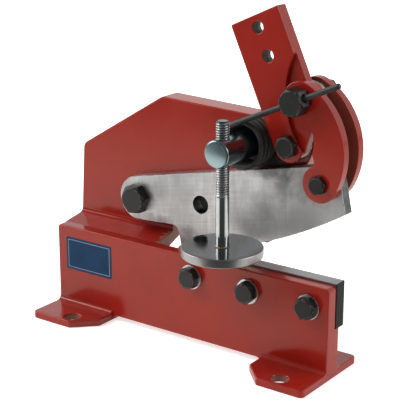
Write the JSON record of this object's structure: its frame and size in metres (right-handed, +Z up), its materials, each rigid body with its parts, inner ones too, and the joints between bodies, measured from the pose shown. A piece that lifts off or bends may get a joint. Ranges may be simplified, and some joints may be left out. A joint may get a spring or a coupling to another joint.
{
  "type": "bench shear",
  "caption": "Bench plate shear: cast frame with a fixed blade, lever-driven curved blade with paired links, return spring and screw-down work hold.",
  "frame": {"origin": "on the bench, midway between the two bench bolt holes", "axes": "+X along the frame towards the free end of the blades, +Y from the operator's side to the back, +Z up"},
  "size_m": [0.2696, 0.1161, 0.2774],
  "materials": {
    "paint": "semi-gloss red paint",
    "blade_steel": "ground",
    "black_steel": "black oxide",
    "zinc": "bright zinc plate",
    "braze": "braze metal"
  },
  "bodies": {
    "frame": {"frame_casting": "paint", "lower_blade": "blade_steel", "lower_blade_washers": "zinc", "lower_blade_bolts": "black_steel", "bar_die": "blade_steel", "pivot_bolt": "black_steel", "pivot_washer": "zinc", "pivot_nut": "black_steel", "fulcrum_bolt": "black_steel", "fulcrum_spacer": "zinc", "fulcrum_washer": "zinc", "fulcrum_nut": "black_steel", "hold_down_post": "zinc", "post_washer": "zinc", "post_nut": "black_steel"},
    "hold_down": {"hold_down_screw": "zinc", "hold_down_disc": "zinc", "disc_braze": "braze"},
    "moving_blade": {"moving_blade": "blade_steel"},
    "lever": {"lever": "paint"},
    "links": {"front_link": "paint", "rear_link": "paint", "link_bolt": "black_steel", "link_spacer": "zinc", "link_washer": "zinc", "link_nut": "black_steel"},
    "link_pin": {"link_pin": "black_steel", "pin_spacer": "zinc", "pin_washer": "zinc", "pin_nut": "black_steel"},
    "return_spring": {"return_spring": "black_steel"}
  },
  "joints": [
    {"name": "lever_swing", "type": "hinge", "parent": "frame", "child": "lever", "pos_m": [0.08, 0.049, 0.173], "axis": [0, 1, 0], "range_deg": [0, 84], "stiffness_Nm_per_rad": 0.6, "springref_deg": -45.84},
    {"name": "blade_swing", "type": "hinge", "parent": "frame", "child": "moving_blade", "pos_m": [-0.0685, 0.052, 0.105], "axis": [0, 1, 0], "range_deg": [0, 15.01]},
    {"name": "link_swing", "type": "hinge", "parent": "lever", "child": "links", "pos_m": [0.09146, 0.052, 0.21031], "axis": [0, 1, 0], "range_deg": [-59.4, 0]},
    {"name": "pin_turn", "type": "hinge", "parent": "lever", "child": "link_pin", "pos_m": [0.09146, 0.052, 0.21031], "axis": [0, 1, 0], "range_deg": [-43.7, 0]},
    {"name": "spring_wind", "type": "hinge", "parent": "frame", "child": "return_spring", "pos_m": [0.044, 0.043, 0.1702], "axis": [0, 1, 0], "range_deg": [0, 40.5], "deforming": ["return_spring"]},
    {"name": "hold_down_slide", "type": "slide", "parent": "frame", "child": "hold_down", "axis": [0, 0, 1], "range_m": [-0.012, 0.022]}
  ],
  "couplings": [
    {"joint": "blade_swing", "follows": "lever_swing", "ratio": 0.17857},
    {"joint": "link_swing", "follows": "lever_swing", "ratio": -0.706},
    {"joint": "pin_turn", "follows": "lever_swing", "ratio": -0.519},
    {"joint": "spring_wind", "follows": "lever_swing", "ratio": 0.481}
  ]
}
